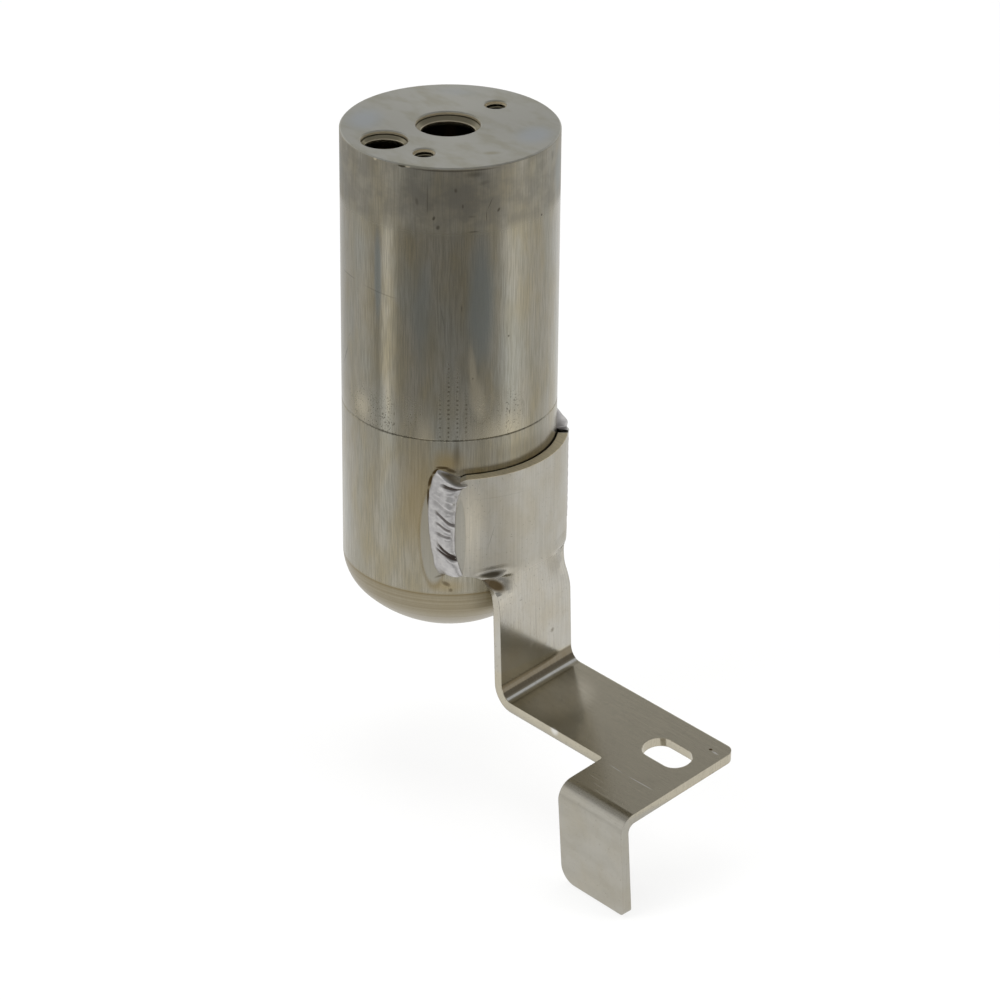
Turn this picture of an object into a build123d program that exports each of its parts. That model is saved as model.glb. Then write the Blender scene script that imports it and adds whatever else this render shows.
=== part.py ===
# Receiver drier of an air-conditioning circuit, in millimetres and degrees.
# The origin is on the can's axis, in the plane of the head's top face. +Z is up, and +X points the way the
# bracket's foot reaches. "Drop" is a depth below the head's top face.

from math import asin, cos, degrees, pi, radians, sin, sqrt, tan
import os

from build123d import *

os.makedirs("parts", exist_ok=True)

# Can, in two shells that are welded together
can_radius = 30.0
can_wall = 2.5
head_thickness = 18.0
head_rim_chamfer = 0.4
joint_drop = 80.2
joint_chamfer = 0.25
joint_lip = 4.0
dome_drop = 127.4
dome_depth = 20.8
dome_knuckle = 14.0
cavity_corner = 2.0

# Ports and screw holes in the head
outlet_x, outlet_y = -1.3, 0.3
outlet_mouth, outlet_counterbore, outlet_pilot, outlet_passage = 9.15, 8.8, 7.4, 4.0
inlet_x, inlet_y = -3.7, -20.0
inlet_mouth, inlet_counterbore, inlet_pilot, inlet_passage = 6.75, 6.4, 5.6, 4.2
seal_depth = 1.4
seal_cone = 0.9
outlet_pilot_depth = 9.0
inlet_pilot_depth = 12.0
screw_places = [(10.0, -17.6), (-3.5, 19.1)]
screw_radius = 3.0
screw_mouth = 3.35
screw_depth = 13.0
screw_point = 1.7

# Parts inside the can
fit_gap = 0.05
loose_gap = 0.3
tube_radius = 5.0
tube_wall = 1.0
tube_socket = 5.0
strainer_wall = 1.5
strainer_length = 24.0
strainer_grip = 6.0
strainer_slots = 6
strainer_slot_width = 2.6
strainer_foot_gap = 3.5
plate_thickness = 1.0
plate_rim = 4.0
plate_hole_radius = 2.3
plate_ring_radii = (11.5, 19.5)
plate_ring_counts = (4, 5)
lower_plate_lift = 11.4
pad_thickness = 3.0
bed_height = 46.0
spring_wire = 2.0
spring_side_gap = 3.5
spring_turns = 2

# Bracket, folded from one sheet
sheet = 2.8
saddle_gap = 0.4
saddle_drop = 90.4
saddle_height = 30.0
saddle_from, saddle_to = -37.5, 48.5
saddle_corner = 4.0
strip_left, strip_right = -10.2, 15.8
shoulder_radius = 8.0
blend_height = 15.0
dart_groove = 0.5
dart_ridge = 1.6
dart_pocket = 1.8
dart_rise = 0.6
dart_pitch = 1.5
pocket_floor_run = 3.0
pocket_floor_share = 0.7
pocket_end_run = 6.0
dart_inside = 0.36
dart_inner_share = 0.35
dart_span = 0.56
dart_far_share = 0.4
line_steps = 20
blend_edge_power = 6
leg_proud = 0.2
leg_lean = 2.4
foot_drop = 157.3
foot_tilt = 8.55
foot_end = 102.3
foot_corner = 3.0
fold_radius = 4.0
slot_length = 16.2
slot_width = 9.0
slot_to_end = 13.4
tab_width = 25.2
tab_out = 26.6
tab_drop = 191.9
tab_lean = 4.1
tab_fold_radius = 2.5
tab_corner_back, tab_corner_front = 5.0, 1.5
notch_radius = 0.8

# Weld beads along the saddle's two ends
front_bead_radius, rear_bead_radius = 4.2, 3.4
bead_ripple = 0.35
bead_pitch = 5.4
bead_sink = 0.2
bead_bite = 0.75
bead_length = 32.3
bead_end_crown = 0.8
front_bead_drop = 88.6
rear_bead_drop = 87.2

# Worked out from the sizes above
cavity_radius = can_radius - can_wall
inner_radius = cavity_radius - loose_gap
spring_radius = cavity_radius - spring_side_gap
lower_plate_drop = dome_drop - lower_plate_lift
saddle_inner = can_radius + saddle_gap
saddle_outer = saddle_inner + sheet
strip_middle = (strip_left + strip_right) / 2
strip_width = strip_right - strip_left
leg_face = saddle_outer + leg_proud
tube_pass = tube_radius + loose_gap


# Radius of the crown arc that meets a knuckle and reaches the dome's depth
def crown_radius(radius, knuckle, depth):
    reach = radius - knuckle
    rise = (reach**2 - (depth - knuckle) ** 2) / (2 * (depth - knuckle))
    return rise + depth


crown = crown_radius(can_radius, dome_knuckle, dome_depth)
crown_turn = degrees(asin((can_radius - dome_knuckle) / (crown - dome_knuckle)))


# Half section of a domed cup in the XZ plane, set in from the outside by a wall
def cup_section(top_drop, inset=0.0):
    with BuildSketch(Plane.XZ) as section:
        with BuildLine():
            side = Line((can_radius - inset, -top_drop), (can_radius - inset, -dome_drop))
            knuckle = JernArc(side @ 1, (0, -1), dome_knuckle - inset, crown_turn - 90)
            bowl = JernArc(knuckle @ 1, knuckle % 1, crown - inset, -crown_turn)
            Polyline(bowl @ 1, (0, -top_drop), side @ 0)
        make_face()
    return section.sketch


# Half section of a port: mouth chamfer, counterbore, conical seal seat, pilot bore and passage
def port_section(mouth, counterbore, pilot, passage, pilot_depth, through):
    entry = mouth - counterbore
    step = pilot - passage
    with BuildSketch(Plane.XZ) as section:
        with BuildLine():
            Polyline(
                (0, 0),
                (mouth, 0),
                (counterbore, -entry),
                (counterbore, -seal_depth),
                (pilot, -seal_depth - seal_cone),
                (pilot, -pilot_depth),
                (passage, -pilot_depth - step),
                (passage, -through),
                (0, -through),
                (0, 0),
            )
        make_face()
    return section.sketch


# Half section of a screw hole with its countersunk mouth and drill point
def screw_section():
    with BuildSketch(Plane.XZ) as section:
        with BuildLine():
            Polyline(
                (0, 0),
                (screw_mouth, 0),
                (screw_radius, screw_radius - screw_mouth),
                (screw_radius, -screw_depth),
                (0, -screw_depth - screw_point),
                (0, 0),
            )
        make_face()
    return section.sketch


# Upper shell: the head and the upper wall in one piece, bored from below
with BuildPart() as upper_shell:
    with BuildSketch(Plane.XY.offset(-joint_drop)):
        Circle(can_radius)
    extrude(amount=joint_drop)
    chamfer(upper_shell.edges().sort_by(Axis.Z)[-1], head_rim_chamfer)
    chamfer(upper_shell.edges().sort_by(Axis.Z)[0], joint_chamfer)
    with BuildSketch(Plane.XY.offset(-joint_drop)):
        Circle(cavity_radius)
    extrude(amount=joint_drop - head_thickness, mode=Mode.SUBTRACT)
    roof_edge = upper_shell.edges().filter_by(GeomType.CIRCLE).filter_by_position(
        Axis.Z, -head_thickness - fit_gap, -head_thickness + fit_gap
    )
    fillet(roof_edge, cavity_corner)
    with BuildSketch(Plane.XY.offset(-joint_drop)):
        Circle(can_radius - can_wall / 2 + fit_gap)
    extrude(amount=joint_lip + fit_gap, mode=Mode.SUBTRACT)
    with Locations((outlet_x, outlet_y, 0)):
        add(
            revolve(
                port_section(
                    outlet_mouth, outlet_counterbore, outlet_pilot, outlet_passage,
                    outlet_pilot_depth, head_thickness,
                ),
                mode=Mode.PRIVATE,
            ),
            mode=Mode.SUBTRACT,
        )
    with BuildSketch(Plane.XY.offset(-head_thickness)):
        with Locations((outlet_x, outlet_y)):
            Circle(tube_radius + fit_gap)
    extrude(amount=tube_socket, mode=Mode.SUBTRACT)
    with Locations((inlet_x, inlet_y, 0)):
        add(
            revolve(
                port_section(
                    inlet_mouth, inlet_counterbore, inlet_pilot, inlet_passage,
                    inlet_pilot_depth, head_thickness,
                ),
                mode=Mode.PRIVATE,
            ),
            mode=Mode.SUBTRACT,
        )
    with Locations(*[(x, y, 0) for x, y in screw_places]):
        add(revolve(screw_section(), mode=Mode.PRIVATE), mode=Mode.SUBTRACT)

# Lower shell: a drawn cup with a domed end and a lip that enters the upper shell
with BuildPart() as lower_shell:
    revolve(cup_section(joint_drop))
    chamfer(lower_shell.edges().sort_by(Axis.Z)[-1], joint_chamfer)
    with BuildSketch(Plane.XY.offset(-joint_drop)):
        Circle(can_radius - can_wall / 2)
    extrude(amount=joint_lip)
    add(revolve(cup_section(joint_drop - joint_lip, can_wall), mode=Mode.PRIVATE), mode=Mode.SUBTRACT)

# Level where the pick-up tube ends, a little above the dome's inner face
tube_top = head_thickness - tube_socket
bowl_drop = dome_drop + dome_depth - can_wall
strainer_drop = bowl_drop - strainer_foot_gap
tube_end = strainer_drop - strainer_length + strainer_grip
bed_drop = lower_plate_drop - pad_thickness
upper_pad_drop = bed_drop - bed_height
upper_plate_drop = upper_pad_drop - pad_thickness

# Pick-up tube: pressed into the head's socket, open at its lower end
with BuildPart() as pickup_tube:
    with BuildSketch(Plane.XY.offset(-tube_end)):
        with Locations((outlet_x, outlet_y)):
            Circle(tube_radius)
            Circle(tube_radius - tube_wall, mode=Mode.SUBTRACT)
    extrude(amount=tube_end - tube_top)

# Strainer: a slotted cup pushed over the tube's lower end
with BuildPart() as tube_strainer:
    with BuildSketch(Plane.XY.offset(-strainer_drop)):
        with Locations((outlet_x, outlet_y)):
            Circle(tube_radius + fit_gap + strainer_wall)
    extrude(amount=strainer_length)
    with BuildSketch(Plane.XY.offset(-strainer_drop + strainer_wall)):
        with Locations((outlet_x, outlet_y)):
            Circle(tube_radius - tube_wall)
    extrude(amount=strainer_length, mode=Mode.SUBTRACT)
    with BuildSketch(Plane.XY.offset(-tube_end)):
        with Locations((outlet_x, outlet_y)):
            Circle(tube_radius + fit_gap)
    extrude(amount=strainer_grip, mode=Mode.SUBTRACT)
    slot_top = strainer_length - strainer_grip - strainer_wall
    with BuildSketch(Plane.XY.offset(-strainer_drop + 2 * strainer_wall)):
        with Locations((outlet_x, outlet_y)):
            with PolarLocations(tube_radius, strainer_slots):
                Rectangle(2 * tube_radius, strainer_slot_width)
            Circle(tube_radius - tube_wall, mode=Mode.SUBTRACT)
    extrude(amount=slot_top - strainer_wall, mode=Mode.SUBTRACT)


# Disc that fills the can across and lets the tube through
def inner_disc(drop, thickness):
    with BuildPart() as disc:
        with BuildSketch(Plane.XY.offset(-drop)):
            Circle(inner_radius)
            with Locations((outlet_x, outlet_y)):
                Circle(tube_pass, mode=Mode.SUBTRACT)
        extrude(amount=thickness)
    return disc


# Perforated plate with a rim of its own thickness; the rim stands up, or hangs down where it is negative
def perforated_plate(drop, rim):
    with BuildPart() as plate:
        add(inner_disc(drop, plate_thickness).part)
        with BuildSketch(Plane.XY.offset(-drop if rim < 0 else plate_thickness - drop)):
            Circle(inner_radius)
            Circle(inner_radius - plate_thickness, mode=Mode.SUBTRACT)
        extrude(amount=rim)
        for ring_radius, count in zip(plate_ring_radii, plate_ring_counts):
            with BuildSketch(Plane.XY.offset(-drop)):
                with PolarLocations(ring_radius, count):
                    Circle(plate_hole_radius)
            extrude(amount=plate_thickness, mode=Mode.SUBTRACT)
    return plate


# The lower plate stands on the dome, where the knuckle comes in to the plate's own radius
knuckle_inner = dome_knuckle - can_wall
knuckle_reach = inner_radius - (can_radius - dome_knuckle)
seat_drop = dome_drop + sqrt(knuckle_inner**2 - knuckle_reach**2)
lower_plate = perforated_plate(lower_plate_drop + plate_thickness, lower_plate_drop + plate_thickness - seat_drop)
upper_plate = perforated_plate(upper_plate_drop, plate_rim)

# Felt pads on both sides of the desiccant, and the bed of beads between them
lower_filter_pad = inner_disc(lower_plate_drop, pad_thickness)
desiccant_bed = inner_disc(bed_drop, bed_height)
upper_filter_pad = inner_disc(upper_pad_drop, pad_thickness)

# Hold-down spring, from the upper plate to the underside of the head
spring_low = upper_plate_drop - plate_thickness - spring_wire / 2
spring_high = head_thickness + spring_wire / 2
with BuildPart() as hold_down_spring:
    with BuildLine():
        coil = Helix(
            pitch=(spring_low - spring_high) / spring_turns,
            height=spring_low - spring_high,
            radius=spring_radius,
            center=(0, 0, -spring_low),
        )
    with BuildSketch(Plane(origin=coil @ 0, z_dir=coil % 0)):
        Circle(spring_wire / 2)
    sweep()

# Bracket: levels where the saddle turns into the flat leg, and the leg's place at the fold
saddle_low = saddle_drop + saddle_height
ridge_drop = saddle_low + dart_rise
blend_drop = ridge_drop - 2 * dart_pitch
leg_top = blend_drop + blend_height
leg_foot = leg_face + (foot_drop - saddle_low) * tan(radians(leg_lean))
shoulder_reach = strip_width / 2 + shoulder_radius


# Outer face of the leg's plane at a place across the bracket and a drop
def leg_plane_x(y, drop):
    rise = cos(radians(foot_tilt)) * (foot_drop - drop) - sin(radians(foot_tilt)) * y
    return leg_foot - tan(radians(leg_lean)) * rise


# One line across the sheet: an arc round the can at the top of the blend, the leg's plane at its foot,
# and between them the pressed dart near each shoulder, which is shallower on the far side
def sheet_line(radius, back, drop, dart):
    reach = min((drop - blend_drop) / blend_height, 1)
    flat = reach * reach * (3 - 2 * reach)
    points = []
    for step in range(line_steps + 1):
        angle = radians(saddle_from + (saddle_to - saddle_from) * step / line_steps)
        arc_x, y = radius * cos(angle), radius * sin(angle)
        across = min(abs(y - strip_middle) / shoulder_reach, 1)
        share = flat * (1 - (1 - flat) * across**blend_edge_power)
        swell = sin(pi * min(max(across - dart_inside, 0) / dart_span, 1)) ** 2
        swell *= 1 if y < strip_middle else dart_far_share
        points.append((arc_x + share * (leg_plane_x(y, drop) - back - arc_x) + dart * swell, y))
    return points


# Cross-section of the whole sheet at one drop; the inner face follows the dart a little less
def sheet_section(drop, dart=0.0):
    with BuildSketch(Plane.XY.offset(-drop)) as section:
        with BuildLine():
            front = Spline(*sheet_line(saddle_outer, 0, drop, dart))
            rear = Spline(*sheet_line(saddle_inner, sheet, drop, dart * dart_inner_share))
            Line(front @ 0, rear @ 0)
            Line(front @ 1, rear @ 1)
        make_face()
    return section.sketch


# Drops and dart depths of the sections, eased from a groove over a sharp ridge into a pocket
def dart_levels():
    turns = [
        (blend_drop, 0),
        (ridge_drop - dart_pitch, -dart_groove),
        (ridge_drop, dart_ridge),
        (ridge_drop + dart_pitch, -dart_pocket),
        (ridge_drop + dart_pitch + pocket_floor_run, -pocket_floor_share * dart_pocket),
        (ridge_drop + dart_pitch + pocket_end_run, 0),
        (leg_top, 0),
    ]
    levels = [turns[0]]
    for (high, before), (low, after) in zip(turns, turns[1:]):
        for share in (1 / 3, 2 / 3, 1):
            eased = share * share * (3 - 2 * share)
            levels.append((high + share * (low - high), before + eased * (after - before)))
    return levels


# Cross-section of the rolled saddle, a true arc of the sheet round the can
def saddle_section():
    with BuildSketch(Plane.XY.offset(-blend_drop)) as section:
        with BuildLine():
            rolled = CenterArc((0, 0), saddle_outer, saddle_from, saddle_to - saddle_from)
            inside = CenterArc((0, 0), saddle_inner, saddle_from, saddle_to - saddle_from)
            Line(rolled @ 0, inside @ 0)
            Line(rolled @ 1, inside @ 1)
        make_face()
    return section.sketch


# Wide blank of leg and foot, folded along a line that rises across the bracket
def folded_strip():
    across = (0, cos(radians(foot_tilt)), sin(radians(foot_tilt)))
    side_plane = Plane(origin=(leg_foot, 0, -foot_drop), x_dir=(1, 0, 0), z_dir=(0, -across[1], -across[2]))
    leg_length = foot_drop - saddle_drop
    with BuildPart() as strip:
        with BuildSketch(side_plane):
            with BuildLine():
                concave = FilletPolyline(
                    (-leg_length * tan(radians(leg_lean)), leg_length),
                    (0, 0),
                    (2 * foot_end, 0),
                    radius=fold_radius,
                )
                offset(concave, amount=sheet, side=Side.RIGHT)
            make_face()
        extrude(amount=2 * shoulder_reach, both=True)
        split(bisect_by=Plane.XY.offset(-leg_top), keep=Keep.BOTTOM)
    return strip.part


# Outline of saddle and strip seen along +X, with the filleted shoulders
def front_outline():
    with BuildSketch(Plane.YZ) as outline:
        with Locations((0, -saddle_low)):
            Rectangle(4 * saddle_outer, saddle_height, align=(Align.CENTER, Align.MIN))
        with Locations((strip_middle, -saddle_low)):
            Rectangle(strip_width, tab_drop - saddle_low, align=(Align.CENTER, Align.MAX))
        shoulders = outline.vertices().filter_by_position(Axis.X, strip_left, strip_right).sort_by(Axis.Y)[-2:]
        fillet(shoulders, shoulder_radius)
    return outline.sketch


# Bracket, folded from one sheet: rolled saddle, darts, leg, foot with its slot, and side tab
foot_rise = tan(radians(foot_tilt))
tab_run = tan(radians(tab_lean))
foot_plane = Plane(
    origin=(leg_foot, 0, -foot_drop), x_dir=(1, 0, 0), z_dir=(0, -sin(radians(foot_tilt)), cos(radians(foot_tilt)))
)
with BuildPart() as bracket:
    extrude(saddle_section(), amount=blend_drop - saddle_drop, dir=(0, 0, 1))
    sections = [saddle_section()] + [sheet_section(drop, dart) for drop, dart in dart_levels()[1:]]
    add(loft(sections, ruled=True, mode=Mode.PRIVATE))
    add(folded_strip())
    extrude(front_outline(), amount=foot_end, mode=Mode.INTERSECT)
    with BuildSketch(Plane.YZ.offset(foot_end - tab_width)):
        with BuildLine():
            top_middle = (strip_middle, -foot_drop + strip_middle * foot_rise)
            tab_bend = (-tab_out, -foot_drop - tab_out * foot_rise)
            tab_low = (-tab_out + (tab_drop + tab_bend[1]) * tab_run, -tab_drop)
            folded = FilletPolyline(top_middle, tab_bend, tab_low, radius=tab_fold_radius + sheet)
            offset(folded, amount=sheet, side=Side.LEFT)
        make_face()
    extrude(amount=tab_width)
    with BuildSketch(foot_plane):
        with Locations((foot_end - leg_foot - slot_to_end, strip_middle)):
            SlotOverall(slot_length, slot_width)
    extrude(amount=2 * sheet, both=True, mode=Mode.SUBTRACT)
    upright = bracket.edges().filter_by(Axis.Z)
    fillet(upright.filter_by_position(Axis.X, foot_end - fit_gap, foot_end + fit_gap), foot_corner)
    notch_x = foot_end - tab_width
    fillet(upright.filter_by_position(Axis.X, notch_x - fit_gap, notch_x + fit_gap), notch_radius)
    tab_corners = bracket.edges().sort_by(Axis.Z)[:4].sort_by(Edge.length)[:2].sort_by(Axis.X)
    fillet(tab_corners[0], tab_corner_back)
    fillet(bracket.edges().sort_by(Axis.Z)[:4].sort_by(Axis.X)[-1], tab_corner_front)
    saddle_ends = bracket.edges().filter_by(GeomType.LINE).sort_by(Axis.Z)[-2:]
    fillet(saddle_ends, saddle_corner)


# Weld bead: a row of overlapping ripples along one end of the saddle, cut to the can and the sheet it joins
def weld_bead(angle, radius, top_drop):
    outward = Vector(cos(radians(angle)), sin(radians(angle)), 0)
    foot = outward * (can_radius - bead_sink)
    bead_plane = Plane(origin=foot, x_dir=outward, z_dir=outward.cross(Vector(0, 0, 1)))
    count = round(bead_length / bead_pitch)
    step = bead_length / count
    waist = radius - bead_ripple
    with BuildPart() as bead:
        with BuildSketch(bead_plane):
            with BuildLine():
                start = (0, -top_drop)
                for ripple in range(count):
                    low = -top_drop - step * (ripple + 1)
                    end = (0 if ripple == count - 1 else waist, low)
                    crown_x = radius if 0 < ripple < count - 1 else bead_end_crown * radius
                    ThreePointArc(start, (crown_x, low + step / 2), end)
                    start = end
                Line(start, (0, -top_drop))
            make_face()
        revolve(axis=Axis((foot.X, foot.Y, 0), (0, 0, 1)))
        with BuildSketch(Plane.XY.offset(-top_drop - 2 * bead_length)):
            Circle(can_radius)
        extrude(amount=3 * bead_length, mode=Mode.SUBTRACT)
        add(bracket.part, mode=Mode.SUBTRACT)
    return bead


front_bead_turn = degrees(front_bead_radius * bead_bite / saddle_inner)
rear_bead_turn = degrees(rear_bead_radius * bead_bite / saddle_inner)
front_weld_bead = weld_bead(saddle_from - front_bead_turn, front_bead_radius, front_bead_drop)
rear_weld_bead = weld_bead(saddle_to + rear_bead_turn, rear_bead_radius, rear_bead_drop)

# Labels and files, one for each piece
upper_shell.part.label = "upper_shell"
export_step(upper_shell.part, "parts/upper_shell.step")
lower_shell.part.label = "lower_shell"
export_step(lower_shell.part, "parts/lower_shell.step")
pickup_tube.part.label = "pickup_tube"
export_step(pickup_tube.part, "parts/pickup_tube.step")
tube_strainer.part.label = "tube_strainer"
export_step(tube_strainer.part, "parts/tube_strainer.step")
lower_plate.part.label = "lower_plate"
export_step(lower_plate.part, "parts/lower_plate.step")
lower_filter_pad.part.label = "lower_filter_pad"
export_step(lower_filter_pad.part, "parts/lower_filter_pad.step")
desiccant_bed.part.label = "desiccant_bed"
export_step(desiccant_bed.part, "parts/desiccant_bed.step")
upper_filter_pad.part.label = "upper_filter_pad"
export_step(upper_filter_pad.part, "parts/upper_filter_pad.step")
upper_plate.part.label = "upper_plate"
export_step(upper_plate.part, "parts/upper_plate.step")
hold_down_spring.part.label = "hold_down_spring"
export_step(hold_down_spring.part, "parts/hold_down_spring.step")
bracket.part.label = "bracket"
export_step(bracket.part, "parts/bracket.step")
front_weld_bead.part.label = "front_weld_bead"
export_step(front_weld_bead.part, "parts/front_weld_bead.step")
rear_weld_bead.part.label = "rear_weld_bead"
export_step(rear_weld_bead.part, "parts/rear_weld_bead.step")
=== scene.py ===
from math import cos, pi, radians, sin

import bpy
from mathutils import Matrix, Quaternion, Vector, noise


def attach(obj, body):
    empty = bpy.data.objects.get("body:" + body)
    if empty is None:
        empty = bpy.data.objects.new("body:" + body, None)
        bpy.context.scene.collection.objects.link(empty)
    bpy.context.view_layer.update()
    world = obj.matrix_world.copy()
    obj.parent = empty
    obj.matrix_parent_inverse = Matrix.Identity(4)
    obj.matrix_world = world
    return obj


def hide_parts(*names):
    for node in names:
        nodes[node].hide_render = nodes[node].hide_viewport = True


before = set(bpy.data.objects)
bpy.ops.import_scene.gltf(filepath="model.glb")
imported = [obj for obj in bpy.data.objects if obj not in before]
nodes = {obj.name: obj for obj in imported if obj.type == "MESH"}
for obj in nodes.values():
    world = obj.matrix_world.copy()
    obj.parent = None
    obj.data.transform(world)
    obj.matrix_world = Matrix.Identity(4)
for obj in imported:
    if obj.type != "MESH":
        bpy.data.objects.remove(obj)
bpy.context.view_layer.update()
mm = 0.001


# Hex colour as written on screen, turned to the linear values that the shaders take
def linear(hexCode):
    channels = [int(hexCode[i:i + 2], 16) / 255 for i in (1, 3, 5)]
    return tuple(c / 12.92 if c <= 0.04045 else ((c + 0.055) / 1.055) ** 2.4 for c in channels) + (1.0,)


# Adds one node, with its settings, and its sockets given as values, hex colours or links
def addNode(tree, kind, sockets=None, **settings):
    node = tree.nodes.new(kind)
    for name, value in settings.items():
        setattr(node, name, value)
    for name, value in (sockets or {}).items():
        socket = node.inputs[name]
        if isinstance(value, bpy.types.NodeSocket):
            tree.links.new(value, socket)
        else:
            socket.default_value = linear(value) if isinstance(value, str) else value
    return node


def newMaterial(name):
    material = bpy.data.materials.new(name)
    material.use_nodes = True
    material.node_tree.nodes.clear()
    return material, material.node_tree


# Point on the surface in millimetres, and the same point as distance from the can's axis and height
def surfacePoint(tree):
    place = addNode(tree, "ShaderNodeTexCoord").outputs["Object"]
    point = addNode(tree, "ShaderNodeVectorMath", {0: place, "Scale": 1 / mm}, operation="SCALE").outputs[0]
    parts = addNode(tree, "ShaderNodeSeparateXYZ", {0: point})
    flat = addNode(tree, "ShaderNodeCombineXYZ", {0: parts.outputs[0], 1: parts.outputs[1]}).outputs[0]
    fromAxis = addNode(tree, "ShaderNodeVectorMath", {0: flat}, operation="LENGTH").outputs["Value"]
    return point, fromAxis, parts.outputs[2]


# Noise whose grains measure (x, y, z) millimetres
def grain(tree, point, size, shift=0.0, detail=2.0):
    scaled = addNode(tree, "ShaderNodeMapping", {
        "Vector": point, "Location": (shift, shift, shift), "Scale": tuple(1 / s for s in size)})
    return addNode(tree, "ShaderNodeTexNoise", {
        "Vector": scaled.outputs[0], "Scale": 1.0, "Detail": detail, "Roughness": 0.55}).outputs[0]


# Mask that is 1 where a value stands over a level, with a soft step
def over(tree, value, level, soft):
    return addNode(tree, "ShaderNodeMapRange", {"Value": value, 1: level - soft, 2: level + soft},
                   interpolation_type="SMOOTHSTEP").outputs[0]


# The same, but 1 under the level
def under(tree, value, level, soft):
    return addNode(tree, "ShaderNodeMapRange", {"Value": value, 1: level - soft, 2: level + soft, 3: 1.0, 4: 0.0},
                   interpolation_type="SMOOTHSTEP").outputs[0]


# Masks multiplied, which leaves what all of them cover
def times(tree, *masks):
    total = masks[0]
    for mask in masks[1:]:
        total = addNode(tree, "ShaderNodeMath", {0: total, 1: mask}, operation="MULTIPLY").outputs[0]
    return total


def between(tree, value, low, high, soft):
    return times(tree, over(tree, value, low, soft), under(tree, value, high, soft))


# Strongest of several marks. Each is an ellipsoid: centre, turn about Z and slant about its own normal in
# degrees, half sizes through, across and along, strength, and the share of it that is soft
def marks(tree, point, places):
    total = None
    for centre, turn, slant, size, strength, soft in places:
        inside = addNode(tree, "ShaderNodeMapping", {
            "Vector": point, "Location": centre, "Rotation": (radians(slant), 0, radians(turn)), "Scale": size,
        }, vector_type="TEXTURE").outputs[0]
        away = addNode(tree, "ShaderNodeVectorMath", {0: inside}, operation="LENGTH").outputs["Value"]
        mask = addNode(tree, "ShaderNodeMapRange", {"Value": away, 1: 1 - soft, 2: 1.0, 3: strength, 4: 0.0},
                       interpolation_type="SMOOTHSTEP").outputs[0]
        if total is not None:
            mask = addNode(tree, "ShaderNodeMath", {0: total, 1: mask}, operation="MAXIMUM").outputs[0]
        total = mask
    return total


canRadius = 30.0
saddleRadius = 33.2


# Mark on the can's side, or on the saddle over it, placed by its angle round the axis and its height
def onCan(angle, height, slant, size, strength, soft, radius=canRadius):
    place = (radius * cos(radians(angle)), radius * sin(radians(angle)), height)
    return place, angle, slant, size, strength, soft


# Coats of colour over each other, each with its mask, its colour and, where it isn't full, its strength
def layered(tree, colour, coats):
    for mask, coat, *strength in coats:
        colour = addNode(tree, "ShaderNodeMix", {0: times(tree, mask, *strength), 6: colour, 7: coat},
                         data_type="RGBA").outputs[2]
    return colour


# Value shifted by several masks, each times its own amount
def shifted(tree, start, amounts):
    value = start
    for mask, amount in amounts:
        value = addNode(tree, "ShaderNodeMath", {0: mask, 1: amount, 2: value}, operation="MULTIPLY_ADD").outputs[0]
    return value


# Bare metal: colour and roughness in, with raised detail over rounded edges
def finishMetal(tree, colour, roughness, relief, depth, edge, anisotropy=0.0):
    rounded = addNode(tree, "ShaderNodeBevel", {"Radius": edge * mm}, samples=6).outputs[0]
    bump = addNode(tree, "ShaderNodeBump", {"Strength": 1.0, "Distance": depth * mm, "Height": relief,
                                            "Normal": rounded}).outputs[0]
    shader = addNode(tree, "ShaderNodeBsdfPrincipled", {
        "Base Color": colour, "Metallic": 1.0, "Roughness": roughness, "Anisotropic": anisotropy, "Normal": bump})
    addNode(tree, "ShaderNodeOutputMaterial", {0: shader.outputs[0]})


# Camera of the photograph: place and target, turned a little about its own axis
cameraSettings = {
    "place": (810.014, -687.393, 435.763),
    "target": (19.698, 1.815, -106.414),
    "roll": 0.535,
    "lens": 152.89,
    "sensor": 36.0,
}


def buildCamera():
    data = bpy.data.cameras.new("studioCamera")
    data.lens = cameraSettings["lens"]
    data.sensor_width = cameraSettings["sensor"]
    data.clip_start = 0.01
    data.clip_end = 20
    camera = bpy.data.objects.new("studioCamera", data)
    place = Vector(cameraSettings["place"]) * mm
    camera.location = place
    camera.rotation_mode = "QUATERNION"
    look = (Vector(cameraSettings["target"]) * mm - place).to_track_quat("-Z", "Y")
    camera.rotation_quaternion = look @ Quaternion((0, 0, 1), radians(cameraSettings["roll"]))
    bpy.context.scene.collection.objects.link(camera)
    bpy.context.scene.camera = camera


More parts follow.
